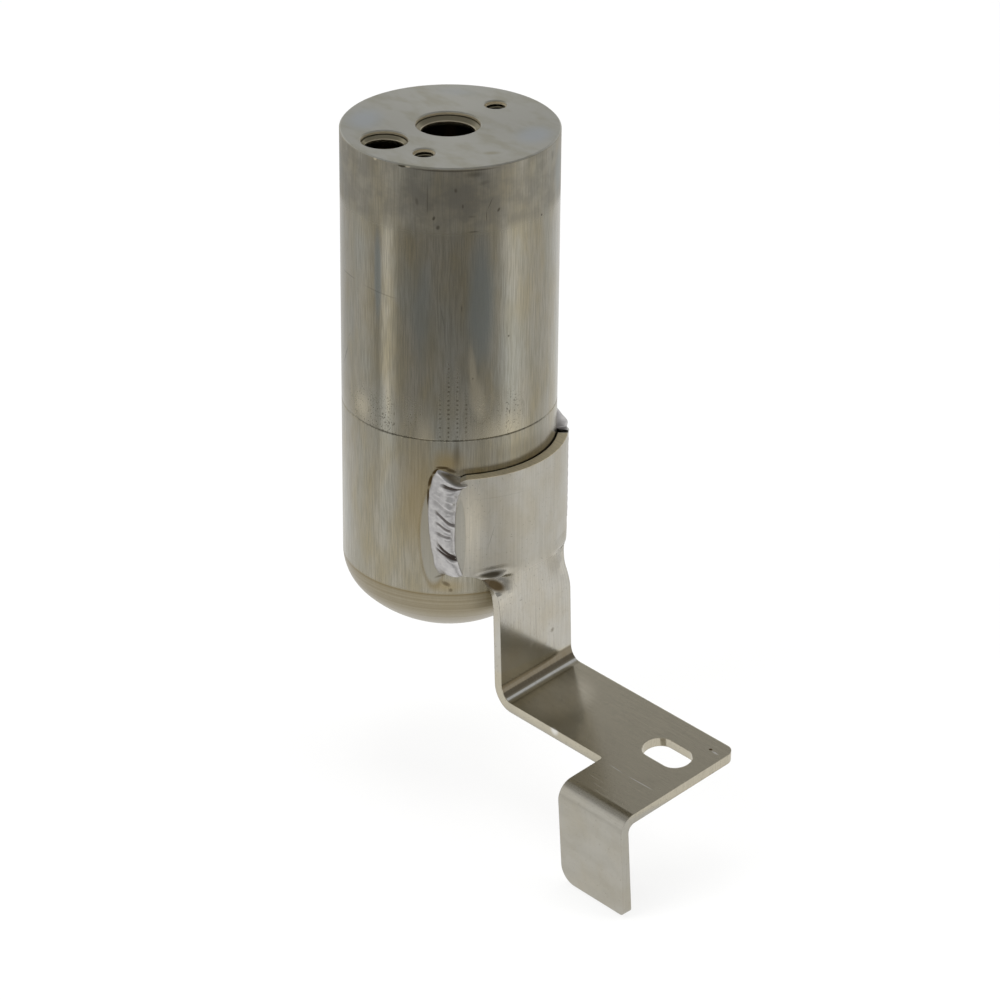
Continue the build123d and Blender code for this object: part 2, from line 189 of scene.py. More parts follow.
# Soft studio light on a white ground. What the metal mirrors are two cards that only its reflections see: a ring
# round the object, whose brightness changes with the direction from the camera's, and a dim ceiling
lightSettings = {
    "worldLight": 0.62,
    "paper": "#F2F2F0",
    "floorGlow": 0.8,  # share of plain white in what the camera sees of the floor
    "floorMirror": 0.95,  # brightness of the floor in reflections
    "floorLevel": -193.0,
    "floorReach": 6000.0,
    "lamps": [
        {"place": (-250, -1300, 900), "size": 900, "watts": 13.0},
        {"place": (1100, 700, 700), "size": 800, "watts": 7.0},
        {"place": (0, 100, 1500), "size": 1100, "watts": 12.0},
    ],
    "target": (20, 0, -90),
    "cameraSide": -41.08,
    "ringLight": [(-180, 0.8), (-134, 0.64), (-97, 0.72), (-84, 0.62), (-75.5, 0.25), (-69.5, 1.15), (-61.5, 0.98),
                  (-54, 0.4), (-35, 0.33), (10, 0.30), (37, 0.35), (50, 0.53), (57, 0.72), (65, 1.15), (83, 0.9),
                  (95, 0.77), (110, 0.75), (134, 0.86), (150, 0.9)],  # angles from the camera's side
    "ringLevel": -192.5,
    "ringNear": 160.0,  # up to here the ring is as bright as the floor, and past ringFull it has its own light
    "ringFull": 300.0,
    "ringFar": 2600.0,
    "ceilingLight": 0.38,
    "ceilingLevel": 900.0,
    "ceilingReach": 1350.0,
    "ceilingSide": 41.0,  # it reaches further to this side, by this share
    "ceilingStretch": 0.7,
    "ceilingCorners": 32,
}


# Flat sheet of the studio. Only mirror-like reflections see a card
def addFlat(name, corners, material, card=True):
    mesh = bpy.data.meshes.new(name)
    mesh.from_pydata(corners, [], [tuple(range(len(corners)))])
    mesh.materials.append(material)
    flat = bpy.data.objects.new(name, mesh)
    flat.visible_camera = flat.visible_diffuse = flat.visible_shadow = not card
    bpy.context.scene.collection.objects.link(flat)


def square(reach, level):
    return [(x * reach * mm, y * reach * mm, level * mm) for x, y in ((-1, -1), (1, -1), (1, 1), (-1, 1))]


# 1 for rays of these kinds
def raysOf(tree, *kinds):
    path = addNode(tree, "ShaderNodeLightPath").outputs
    total = path[kinds[0]]
    for kind in kinds[1:]:
        total = addNode(tree, "ShaderNodeMath", {0: total, 1: path[kind]}, operation="MAXIMUM").outputs[0]
    return total


def buildRoom():
    c = lightSettings
    bpy.context.scene.view_settings.view_transform = "Standard"
    world = bpy.data.worlds.new("whiteRoom")
    bpy.context.scene.world = world
    world.use_nodes = True
    tree = world.node_tree
    tree.nodes.clear()
    shown = raysOf(tree, "Is Camera Ray", "Is Glossy Ray", "Is Transmission Ray")
    strength = shifted(tree, c["worldLight"], [(shown, 1 - c["worldLight"])])
    sky = addNode(tree, "ShaderNodeBackground", {"Color": "#FFFFFF", "Strength": strength})
    addNode(tree, "ShaderNodeOutputWorld", {0: sky.outputs[0]})

    material, tree = newMaterial("whitePaperFloor")
    mirrored = raysOf(tree, "Is Glossy Ray", "Is Transmission Ray")
    shown = times(tree, raysOf(tree, "Is Camera Ray"), c["floorGlow"])
    shown = addNode(tree, "ShaderNodeMath", {0: mirrored, 1: shown}, operation="MAXIMUM").outputs[0]
    paper = addNode(tree, "ShaderNodeBsdfDiffuse", {"Color": c["paper"]})
    strength = shifted(tree, 1.0, [(mirrored, c["floorMirror"] - 1)])
    glow = addNode(tree, "ShaderNodeEmission", {"Color": "#FFFFFF", "Strength": strength})
    mixed = addNode(tree, "ShaderNodeMixShader", {0: shown, 1: paper.outputs[0], 2: glow.outputs[0]})
    addNode(tree, "ShaderNodeOutputMaterial", {0: mixed.outputs[0]})
    addFlat("paperFloor", square(c["floorReach"], c["floorLevel"]), material, card=False)


def buildLightRing():
    c = lightSettings
    material, tree = newMaterial("lightRing")
    place = addNode(tree, "ShaderNodeTexCoord").outputs["Object"]
    turned = addNode(tree, "ShaderNodeVectorRotate", {"Vector": place, "Angle": radians(-c["cameraSide"])},
                     rotation_type="Z_AXIS")
    parts = addNode(tree, "ShaderNodeSeparateXYZ", {0: turned.outputs[0]}).outputs
    turn = addNode(tree, "ShaderNodeMath", {0: parts[1], 1: parts[0]}, operation="ARCTAN2").outputs[0]
    share = addNode(tree, "ShaderNodeMapRange", {"Value": turn, 1: -pi, 2: pi}).outputs[0]
    ramp = addNode(tree, "ShaderNodeValToRGB", {0: share})
    ramp.color_ramp.interpolation = "EASE"
    stops = ramp.color_ramp.elements
    for angle, light in c["ringLight"][1:]:
        stops.new((angle + 180) / 360).color = (light, light, light, 1)
    back = c["ringLight"][0][1]
    stops[0].color = stops[-1].color = (back, back, back, 1)
    flat = addNode(tree, "ShaderNodeCombineXYZ", {0: parts[0], 1: parts[1]}).outputs[0]
    away = addNode(tree, "ShaderNodeVectorMath", {0: flat}, operation="LENGTH").outputs["Value"]
    near = addNode(tree, "ShaderNodeMapRange", {"Value": away, 1: c["ringNear"] * mm, 2: c["ringFull"] * mm},
                   interpolation_type="SMOOTHSTEP").outputs[0]
    strength = addNode(tree, "ShaderNodeMix", {0: near, 2: c["floorMirror"], 3: ramp.outputs[0]},
                       data_type="FLOAT").outputs[0]
    glow = addNode(tree, "ShaderNodeEmission", {"Color": "#FFFFFF", "Strength": strength})
    addNode(tree, "ShaderNodeOutputMaterial", {0: glow.outputs[0]})
    addFlat("lightRing", square(c["ringFar"], c["ringLevel"]), material)


def buildCeiling():
    c = lightSettings
    material, tree = newMaterial("dimCeiling")
    glow = addNode(tree, "ShaderNodeEmission", {"Color": "#FFFFFF", "Strength": c["ceilingLight"]})
    addNode(tree, "ShaderNodeOutputMaterial", {0: glow.outputs[0]})
    rim = []
    for corner in range(c["ceilingCorners"]):
        turn = 2 * pi * corner / c["ceilingCorners"]
        toSide = max(cos(turn - radians(c["ceilingSide"])), 0) ** 2
        far = c["ceilingReach"] * mm * (1 + c["ceilingStretch"] * toSide)
        rim.append((far * cos(turn), far * sin(turn), c["ceilingLevel"] * mm))
    addFlat("dimCeiling", rim, material)


def buildLamps():
    c = lightSettings
    for number, lamp in enumerate(c["lamps"]):
        data = bpy.data.lights.new(f"softbox{number}", "AREA")
        data.shape = "DISK"
        data.size = lamp["size"] * mm
        data.energy = lamp["watts"]
        softbox = bpy.data.objects.new(f"softbox{number}", data)
        softbox.location = Vector(lamp["place"]) * mm
        softbox.rotation_euler = (Vector(c["target"]) * mm - softbox.location).to_track_quat("-Z", "Y").to_euler()
        softbox.visible_glossy = False
        bpy.context.scene.collection.objects.link(softbox)


# Drawn aluminium of both shells: soft grey metal with fine upright lines and cloudy warm and cool patches. The
# real lines are under 0.1 mm wide, too fine to show, so the fine ones are drawn 0.28 mm wide
drawnSettings = {
    "side": "#A5A092",
    "warm": "#A0977F",
    "cool": "#9B9F9B",
    "line": "#7F7B6C",
    "fineLine": (0.28, 0.28, 7.0),
    "broadLine": (1.5, 1.5, 60.0),
    "cloud": (7.0, 7.0, 16.0),
    "tint": (10.0, 10.0, 34.0),
    "roughness": 0.17,
}


# Colour of the drawn skin, and its fine lines
def drawnSkin(tree, point):
    c = drawnSettings
    fine = grain(tree, point, c["fineLine"])
    broad = grain(tree, point, c["broadLine"], 3.0)
    cloud = grain(tree, point, c["cloud"], 7.0, 3.0)
    tint = grain(tree, point, c["tint"], 47.0)
    colour = layered(tree, c["side"], [
        (over(tree, cloud, 0.52, 0.2), c["warm"]),
        (over(tree, tint, 0.57, 0.14), c["cool"], 0.45),
        (over(tree, broad, 0.56, 0.22), c["line"], 0.22),
        (over(tree, fine, 0.52, 0.14), c["line"], 0.48),
    ])
    return colour, fine


# Can: darker and duller round the thick head, with painted shade over the head's middle, speckled with small pits
# above the joint, with four upright rows of dots, and turned on its top face. Cool bands on its side are painted
# reflections, and the front rim has a painted highlight with a painted shade line under it. The machined ports
# have painted highlights at the mouth and on a ring lower down, walls painted darker as painted shade, and
# painted shade deep below
canSettings = {
    "head": "#76736A",
    # pits and dark marks, and the painted shade line under the front rim
    "speckAndRimShade": "#4A4539",
    "ring": "#4E4A3E",
    # pale marks and burrs, and the painted highlight along the front rim
    "paleAndRimHighlight": "#C2B9A2",
    # painted reflection: cool tint of the bands on the can's side
    "coolReflection": "#8C918E",
    "turned": "#ACABA3",
    "turnedCool": "#A8ACAE",
    "turnedStain": "#98947F",
    # painted shade: the ports' walls are drawn darker than the bare metal
    "bore": "#88826F",
    # painted highlight at the ports' mouths and on a ring lower down
    "mouth": "#CFC5AC",
    # painted shade deep in the ports
    "deepBoreShade": "#3A342A",
    "brownStreak": "#7A5F3C",
    "faceLevel": -0.28,  # the turned face ends here, just under the edge
    "headBottom": -18.5,
    "pitTop": -60.0,
    "jointLevel": -80.2,
    "boreReach": 29.0,  # what lies nearer the axis, under the next level, is machined
    "boreTop": -0.35,
    "lipBottom": -0.95,
    # depths of the ring of painted highlight in the ports
    "mouthLine": (-2.9, -2.2),
    # the painted shade deep in the ports starts under this level
    "deepShadeTop": -3.3,
    "columns": (1.6, 1.6, 30.0),
    "headGrain": (5.0, 5.0, 4.0),
    "speckGrain": (0.5, 0.5, 0.6),
    "dotBeat": 4.6,  # radians for each millimetre of height, so a dot every 1.4 mm
    "dotGrain": (2.0, 2.0, 1.6),
    "ringGrain": (0.55, 0.55, 3.0),
    "turningLines": 2.6,  # for each millimetre from the axis
    "smear": (11.0, 6.0, 9.0),
    "edge": 0.22,
    # painted shade: the middle of the head, round -38°, is drawn darker
    "headMiddleShade": [onCan(-38, -8, 0, (14.0, 25.0, 15.0), 1.0, 0.8)],
    "speckPlaces": [
        onCan(-84, -75, 0, (8.0, 15.0, 12.0), 1.0, 0.6),
        onCan(-62, -74, 0, (6.0, 6.0, 9.0), 1.0, 0.6),
        onCan(-14, -73, 0, (8.0, 13.0, 11.0), 1.0, 0.6),
        onCan(100, -74, 0, (20.0, 26.0, 9.0), 0.8, 0.6)],
    "dotRows": [
        onCan(-45.2, -74, 0, (1.5, 0.42, 10.0), 0.8, 0.5),
        onCan(-40.8, -69, 0, (1.5, 0.45, 17.0), 1.0, 0.5),
        onCan(-36.2, -70, 0, (1.5, 0.42, 14.0), 0.9, 0.5),
        onCan(-31.6, -73, 0, (1.5, 0.42, 9.0), 0.8, 0.5)],
    "ringPlaces": [
        onCan(-86, -80.2, 0, (14.0, 17.0, 1.0), 0.8, 0.2),
        onCan(-37, -80.2, 0, (5.0, 5.6, 1.0), 0.75, 0.3),
        onCan(5, -80.2, 0, (14.0, 18.0, 1.0), 0.38, 0.4),
        onCan(140, -80.2, 0, (22.0, 30.0, 1.0), 0.6, 0.2)],
    "darkMarksAndRimShade": [
        onCan(14.6, -18.6, 0, (1.5, 0.33, 0.45), 1.0, 0.5),
        onCan(-8.3, -50.6, 0, (1.5, 0.32, 0.36), 0.85, 0.5),
        onCan(-28.3, -61.6, 0, (1.5, 0.25, 0.3), 0.6, 0.5),
        onCan(-112, -64, 60, (2.5, 5.0, 0.22), 0.9, 0.6),
        onCan(-106, -56.5, 50, (2.5, 1.6, 0.2), 0.35, 0.6),
        onCan(-107, -38.6, 4, (2.5, 5.5, 0.25), 0.35, 0.5),
        onCan(-80, -38.9, -4, (2.5, 8.0, 0.2), 0.28, 0.5),
        onCan(-34.2, -40.6, 0, (1.5, 0.16, 1.3), 0.6, 0.6),
        onCan(-44.0, -43.2, 10, (1.5, 0.12, 4.2), 0.4, 0.6),
        onCan(-51.9, -9.2, 0, (1.5, 0.16, 5.5), 0.5, 0.5),
        onCan(-57.4, -10.0, 10, (1.5, 0.7, 1.7), 0.4, 0.8),
        onCan(-37.5, -6.3, 0, (1.5, 0.6, 0.9), 0.55, 0.8),
        onCan(-33.9, -10.9, 0, (1.5, 0.4, 0.9), 0.55, 0.8),
        onCan(-48.6, -14.4, -20, (1.5, 0.5, 0.9), 0.75, 0.7),
        onCan(-46.5, -17.0, -25, (1.5, 0.7, 0.9), 0.65, 0.7),
        onCan(-19.6, -10.8, -24, (1.5, 0.14, 2.3), 0.6, 0.6),
        onCan(-21.5, -14.4, 4, (1.5, 0.14, 2.0), 0.6, 0.6),
        onCan(-14.8, -12.9, -30, (1.5, 0.5, 0.9), 0.7, 0.7),
        onCan(-29, -14.0, 0, (1.5, 1.6, 0.5), 0.3, 0.9),
        onCan(-28.2, -18.4, 0, (1.5, 2.2, 0.3), 0.55, 0.8),
        onCan(-28.0, -1.9, 0, (1.5, 3.6, 1.2), 0.45, 0.9),
        onCan(-23.0, -4.6, 10, (1.5, 2.2, 0.9), 0.3, 0.9),
        # painted shade: dark line just under the front rim
        onCan(-38, -0.75, 0, (6.0, 16.5, 0.34), 0.6, 0.5),
        onCan(25.7, -3.7, 0, (1.5, 0.3, 2.0), 0.6, 0.7),
        onCan(-65.5, -0.45, 0, (1.5, 1.5, 0.5), 0.95, 0.5)],
    "paleMarksAndRimHighlight": [
        onCan(-81.9, -0.2, 0, (1.5, 0.7, 0.8), 1.0, 0.5),
        onCan(-62.5, -0.3, 0, (1.5, 1.1, 0.4), 0.9, 0.5),
        # painted highlight along the front rim
        onCan(-34, -0.05, 0, (6.5, 18.0, 0.3), 0.8, 0.5),
        onCan(-93, -75, 0, (6.0, 5.0, 6.0), 0.55, 0.9),
        onCan(-74, -70, 0, (4.0, 1.2, 9.0), 0.35, 0.9),
        onCan(-28.0, -61, 5, (3.0, 1.5, 12.5), 0.55, 0.7),
        onCan(-25.5, -68, 9, (3.0, 3.0, 10.0), 0.55, 0.7),
        onCan(-14, -80, 0, (9.0, 13.0, 9.0), 0.55, 0.9),
        onCan(-53, -82, 0, (5.0, 3.6, 13.0), 0.5, 0.9)],
    # painted reflections: cool bands on the can's side
    "coolReflectionPlaces": [
        onCan(-24, -40, 0, (5.0, 5.2, 26.0), 0.75, 0.7),
        onCan(-80.5, -34, 0, (3.0, 1.7, 17.0), 0.7, 0.6),
        onCan(-55, -42, 0, (5.0, 4.0, 24.0), 0.45, 0.8),
        onCan(36, -10, 0, (4.0, 5.5, 9.5), 0.6, 0.8),
        onCan(-122, -10, 0, (4.0, 5.5, 9.0), 0.4, 0.8)],
    "coolPatches": [
        ((-18.0, -15.0, 0), 40, 0, (7.0, 11.0, 3.0), 0.9, 0.8),
        ((19.5, 13.0, 0), 30, 0, (7.0, 9.0, 3.0), 0.9, 0.8),
        ((-17.0, 17.0, 0), 35, 0, (9.0, 4.0, 3.0), 0.5, 0.9)],
    "stains": [((21.8, -4.0, 0), 55, 0, (3.6, 1.8, 3.0), 0.8, 0.9)],
    "streaks": [
        ((-6.5, 6.3, -7.0), 45, 0, (6.0, 1.0, 8.0), 0.7, 0.8),
        ((-7.0, -15.6, -6.0), 45, 0, (6.0, 0.8, 6.0), 0.6, 0.8)],
}


def buildCanMaterial():
    c = canSettings
    material, tree = newMaterial("brushedAluminiumCan")
    point, fromAxis, height = surfacePoint(tree)
    skin, fine = drawnSkin(tree, point)

    top = over(tree, height, c["faceLevel"], 0.1)
    side = under(tree, height, c["faceLevel"], 0.1)
    bore = times(tree, under(tree, fromAxis, c["boreReach"], 0.1), under(tree, height, c["boreTop"], 0.08))
    # painted highlight on the top of the ports' walls
    lip = times(tree, bore, over(tree, height, c["lipBottom"], 0.1))
    deep = times(tree, bore, under(tree, height, c["deepShadeTop"], 0.4))
    mouthLine = between(tree, height, *c["mouthLine"], 0.15)

    head = between(tree, height, c["headBottom"], 1, 2.2)
    # painted shade over the head's middle
    headMiddleShade = times(tree, head, marks(tree, point, c["headMiddleShade"]))
    headUneven = times(tree, head, over(tree, grain(tree, point, c["headGrain"], 3.3, 4.0), 0.5, 0.14))

    pitted = addNode(tree, "ShaderNodeMapRange", {"Value": height, 1: c["pitTop"], 2: c["jointLevel"] + 3},
                     interpolation_type="SMOOTHSTEP").outputs[0]
    specks = times(tree, over(tree, grain(tree, point, c["speckGrain"], 11.0, 1.0), 0.61, 0.03), pitted,
                   over(tree, grain(tree, point, c["columns"], 17.0, 1.0), 0.46, 0.08),
                   marks(tree, point, c["speckPlaces"]))
    beat = addNode(tree, "ShaderNodeMath", {0: times(tree, height, c["dotBeat"])}, operation="SINE").outputs[0]
    dots = times(tree, marks(tree, point, c["dotRows"]), over(tree, beat, 0.25, 0.45),
                 over(tree, grain(tree, point, c["dotGrain"], 13.0, 1.0), 0.40, 0.10))
    ring = between(tree, height, c["jointLevel"] - 0.25, c["jointLevel"] + 0.4, 0.14)
    ringDots = times(tree, ring, marks(tree, point, c["ringPlaces"]),
                     over(tree, grain(tree, point, c["ringGrain"], 23.0, 1.0), 0.40, 0.1))

    turning = addNode(tree, "ShaderNodeTexNoise", {
        "Vector": addNode(tree, "ShaderNodeCombineXYZ", {0: fromAxis}).outputs[0],
        "Scale": c["turningLines"], "Detail": 4.0}).outputs[0]
    turned = layered(tree, c["turned"], [
        (over(tree, grain(tree, point, c["smear"], 41.0, 3.0), 0.56, 0.14), c["turnedStain"], 0.5),
        (marks(tree, point, c["coolPatches"]), c["turnedCool"]),
        (marks(tree, point, c["stains"]), c["turnedStain"]),
    ])
    # painted shade deep in the ports, with brown streaks
    deepShade = layered(tree, c["deepBoreShade"], [(marks(tree, point, c["streaks"]), c["brownStreak"])])
    colour = layered(tree, skin, [
        (shifted(tree, 0.0, [(head, 0.18), (headMiddleShade, 0.32), (headUneven, 0.34)]), c["head"]),
        # painted reflections
        (marks(tree, point, c["coolReflectionPlaces"]), c["coolReflection"]),
        (shifted(tree, 0.0, [(specks, 0.5), (dots, 0.8)]), c["speckAndRimShade"]),
        (ringDots, c["ring"]),
        # pale marks, and the painted highlight along the rim
        (marks(tree, point, c["paleMarksAndRimHighlight"]), c["paleAndRimHighlight"]),
        # dark marks, and the painted shade line under the rim
        (marks(tree, point, c["darkMarksAndRimShade"]), c["speckAndRimShade"]),
        (top, turned),
        # painted shade on the ports' walls with a ring of painted highlight, then painted highlight at the mouth and
        # painted shade deep down
        (bore, layered(tree, c["bore"], [(mouthLine, c["mouth"])])),
        (lip, c["mouth"]),
        (deep, deepShade),
    ])
    roughness = shifted(tree, drawnSettings["roughness"], [
        (fine, 0.07), (head, 0.2), (specks, 0.3), (dots, 0.3), (top, 0.12), (bore, -0.10), (lip, 0.5)])
    relief = shifted(tree, 0.0, [(times(tree, fine, side), 0.10), (times(tree, turning, top), 0.35)])
    finishMetal(tree, colour, roughness, relief, 0.03, c["edge"], 0.2)
    return material


# Lower shell: the same drawn aluminium, straw-coloured by heat beside the weld, with a grey halo that has a
# brown rim, soot along the bead, and spun rings round the domed end
domeSettings = {
    "straw": "#9C8A62",
    "dusk": "#5E5644",
    "halo": "#A29F94",
    "haloRim": "#75643F",
    "darkening": "#4A3A20",
    "spun": "#958B74",
    "spunDark": "#7F745B",
    "haloPlace": (-48.3, -109.5),
    "haloSize": (4.0, 4.2, 16.0),
    "haloEdge": 1.12,  # size of the rim's outside against the halo's
    "haloSoft": 0.16,
    "haloFade": (-122, -96),  # the rim is strong at the first level and faint at the second
    "spunTop": -127.4,
    "spunLines": 1.6,  # for each millimetre
    "edge": 0.2,
    "jointGrain": (0.9, 0.9, 3.0),
    "strawPlaces": [
        onCan(-57, -99, 0, (9.0, 8.0, 24.0), 0.55, 0.95),
        onCan(-41, -87, 0, (9.0, 7.0, 6.0), 0.8, 0.95),
        onCan(-42, -125, 0, (9.0, 8.0, 3.0), 0.5, 0.95)],
    "duskPlaces": [
        onCan(-36.5, -84.5, 0, (4.0, 1.6, 6.5), 0.55, 0.95),
        onCan(5, -86.2, 0, (16.0, 20.0, 4.6), 0.3, 0.9),
        onCan(30, -87.5, 0, (12.0, 8.0, 5.0), 0.3, 0.9)],
    "sootPlaces": [
        onCan(-51.3, -97.5, 0, (2.5, 0.5, 3.6), 0.9, 0.5),
        onCan(-50.2, -92.4, -15, (2.5, 0.6, 2.6), 0.95, 0.5),
        onCan(-47.6, -89.5, -42, (2.5, 0.6, 1.6), 0.95, 0.5),
        onCan(-43.8, -88.3, 88, (2.5, 0.55, 2.4), 0.85, 0.5),
        onCan(-39.6, -89.1, 68, (2.5, 0.7, 2.0), 0.7, 0.6),
        onCan(-44.5, -121.6, -66, (2.5, 0.45, 2.6), 0.5, 0.7),
        onCan(-41.8, -124.2, 60, (2.5, 0.9, 1.9), 0.55, 0.8),
        onCan(-39.4, -126.2, 10, (2.5, 0.8, 0.9), 0.5, 0.8),
        onCan(55.0, -87.2, 84, (2.5, 0.6, 4.0), 0.6, 0.6)],
}


def buildDomeMaterial():
    c = domeSettings
    jointLevel = canSettings["jointLevel"]
    material, tree = newMaterial("spunAluminiumDome")
    point, fromAxis, height = surfacePoint(tree)
    skin, fine = drawnSkin(tree, point)
    spun = under(tree, height, c["spunTop"], 0.5)
    ringPlace = addNode(tree, "ShaderNodeCombineXYZ", {0: fromAxis, 1: height}).outputs[0]
    rings = addNode(tree, "ShaderNodeTexNoise", {
        "Vector": ringPlace, "Scale": c["spunLines"], "Detail": 4.0}).outputs[0]
    outerSize = tuple(c["haloEdge"] * size for size in c["haloSize"])
    halo = marks(tree, point, [onCan(*c["haloPlace"], 0, c["haloSize"], 1.0, c["haloSoft"])])
    haloOuter = marks(tree, point, [onCan(*c["haloPlace"], 0, outerSize, 1.0, c["haloSoft"])])
    rim = addNode(tree, "ShaderNodeMath", {0: haloOuter, 1: halo}, operation="SUBTRACT", use_clamp=True).outputs[0]
    rimFade = addNode(tree, "ShaderNodeMapRange", {
        "Value": height, 1: c["haloFade"][0], 2: c["haloFade"][1], 3: 0.9, 4: 0.35}).outputs[0]
    darkening = marks(tree, point, c["sootPlaces"])
    joint = between(tree, height, jointLevel - 0.3, jointLevel + 1, 0.12)
    jointDots = times(tree, joint, over(tree, grain(tree, point, c["jointGrain"], 23.0, 1.0), 0.5, 0.1))
    edgeRing = between(tree, height, c["spunTop"] - 0.62, c["spunTop"] - 0.28, 0.2)
    colour = layered(tree, skin, [
        (marks(tree, point, c["strawPlaces"]), c["straw"]),
        (marks(tree, point, c["duskPlaces"]), c["dusk"]),
        (halo, c["halo"], 0.7),
        (times(tree, rim, rimFade), c["haloRim"], 0.5),
        (spun, c["spun"], 0.75),
        (times(tree, spun, over(tree, rings, 0.52, 0.12)), c["spunDark"], 0.5),
        (edgeRing, c["haloRim"], 0.7),
        (darkening, c["darkening"]),
        (jointDots, canSettings["ring"], 0.3),
    ])
    roughness = shifted(tree, drawnSettings["roughness"] + 0.04, [
        (fine, 0.07), (spun, 0.08), (halo, 0.08), (darkening, 0.3)])
    relief = shifted(tree, 0.0, [(fine, 0.08), (times(tree, rings, spun), 0.08), (edgeRing, -0.3)])
    finishMetal(tree, colour, roughness, relief, 0.03, c["edge"], 0.15)
    return material


# Bracket: rolled aluminium sheet with a satin skin, fine handling scratches and a few soft stains. A strip beside
# the weld has melted smooth and grey, and the shorn edges are pale. The bend over the foot has painted shade with a
# line of painted highlight under it, the darts' ledges have painted shade, the pressed dart's pocket has painted
# shade in brown, and the foot beside the fold and part of the saddle are painted lighter as painted light. The
# same brown marks the leg and a pit on the foot. Roll lines and scratches are really finer than 0.1 mm, and are
# drawn wide enough to show
bracketSettings = {
    "sheet": "#BDBAB1",
    "warm": "#B8B2A3",
    "scratch": "#8F8B7F",
    "soilAndPocketShade": "#54452B",
    # brown: marks on the leg and in a pit on the foot, and painted shade in the dart's pocket
    "shade": "#5C5648",
    "melted": "#AAA89F",
    "bright": "#E2E0DA",
    "foot": "#BCB5A2",
    "shorn": "#DDD3B8",
    # painted light: lighter colour on the foot beside the fold and on the saddle
    "paintedLight": "#E6DECB",
    # painted shade on the bend over the foot
    "bendShade": "#6B604D",
    # painted highlight: bright line under the bend's painted shade
    "bendShine": "#F4F4F0",
    "legLine": (9.0, 0.3, 16.0),
    "cloud": (9.0, 9.0, 12.0),
    "mottle": (1.2, 1.2, 1.2),
    "scratchLine": (7.0, 0.16, 7.0),
    "scratchTurn": (24, 11, 37),
    "pits": (0.5, 0.5, 0.5),
    "roughness": 0.12,
    "edgeRadius": 0.3,
    "shornBottom": -90.52,
    "saddleBottom": -121.5,
    "footLevels": (-161.4, -151.0),
    "tabTop": -161.0,
    "innerSide": -10.0,  # the bend's shade is on the face that looks to the can's middle, past this width
    "bendSlope": -0.1503,  # the fold rises across the bracket
    "bendLevels": (-156.7, -153.3),
    "shineLevels": (-157.1, -156.75),
    "meltedStrip": [onCan(-35.1, -108.6, 0, (3.0, 1.45, 12.2), 1.0, 0.12, saddleRadius)],
    "stripRim": [onCan(-35.1, -108.6, 0, (3.2, 1.7, 12.6), 1.0, 0.12, saddleRadius)],
    "soilAndPocketShadePlaces": [
        # painted shade: the dart's pocket under its ledge is drawn dark brown
        ((31.3, -9.7, -124.6), 0, -34, (6.0, 4.3, 2.2), 0.95, 0.6),
        ((30.3, -11.4, -123.3), 0, -34, (5.0, 2.6, 1.2), 0.9, 0.6),
        ((34.4, 8.9, -143.9), 0, -30, (6.0, 0.8, 1.1), 0.5, 0.9),
        ((96.9, 11.5, -155.6), 0, 0, (0.7, 0.5, 3.0), 1.0, 0.4)],
    "shadePlaces": [
        ((31.4, -11.8, -120.4), 0, 3, (6.0, 4.6, 0.75), 0.95, 0.6),
        ((28.5, 17.8, -122.1), 32, 18, (4.0, 2.5, 0.4), 0.8, 0.6)],
    "scores": [
        onCan(-19.8, -108.9, -17, (3.0, 0.13, 5.0), 0.7, 0.6, saddleRadius),
        onCan(-14.0, -97.0, 88, (4.0, 0.14, 11.5), 0.25, 0.5, saddleRadius),
        onCan(-21.0, -101.0, -30, (3.0, 0.4, 1.6), 0.25, 0.9, saddleRadius),
        ((84.0, -17.5, -160.0), 0, 0, (7.0, 0.13, 4.0), 0.35, 0.6),
        ((88.0, -19.3, -160.2), 1, 0, (8.0, 0.12, 4.0), 0.35, 0.6),
        ((91.0, -21.0, -160.5), 2, 0, (7.0, 0.12, 4.0), 0.3, 0.6),
        ((34.3, 2.9, -139.0), 0, 0, (5.0, 0.12, 7.0), 0.35, 0.5),
        ((52.0, -2.0, -157.6), 20, 0, (5.0, 0.12, 4.0), 0.2, 0.6)],
    "paintedLightPlaces": [
        # painted light on the foot beside the fold, and on the saddle
        ((47.0, 1.0, -157.5), 0, 0, (12.0, 15.0, 4.5), 0.9, 0.7),
        onCan(-30, -105, 0, (6.0, 5.0, 17.0), 0.6, 0.9, saddleRadius)],
    "polished": [
        ((98.9, 11.2, -155.6), 0, 0, (1.8, 0.45, 3.0), 0.7, 0.8),
        ((83.5, -11.2, -159.0), -2, 0, (3.6, 0.22, 4.0), 0.5, 0.6),
        ((93.5, -11.2, -159.0), 1, 0, (6.2, 0.26, 4.0), 0.6, 0.6),
        ((57.2, -10.1, -159.0), 0, 0, (2.2, 0.5, 2.2), 0.9, 0.7)],
}


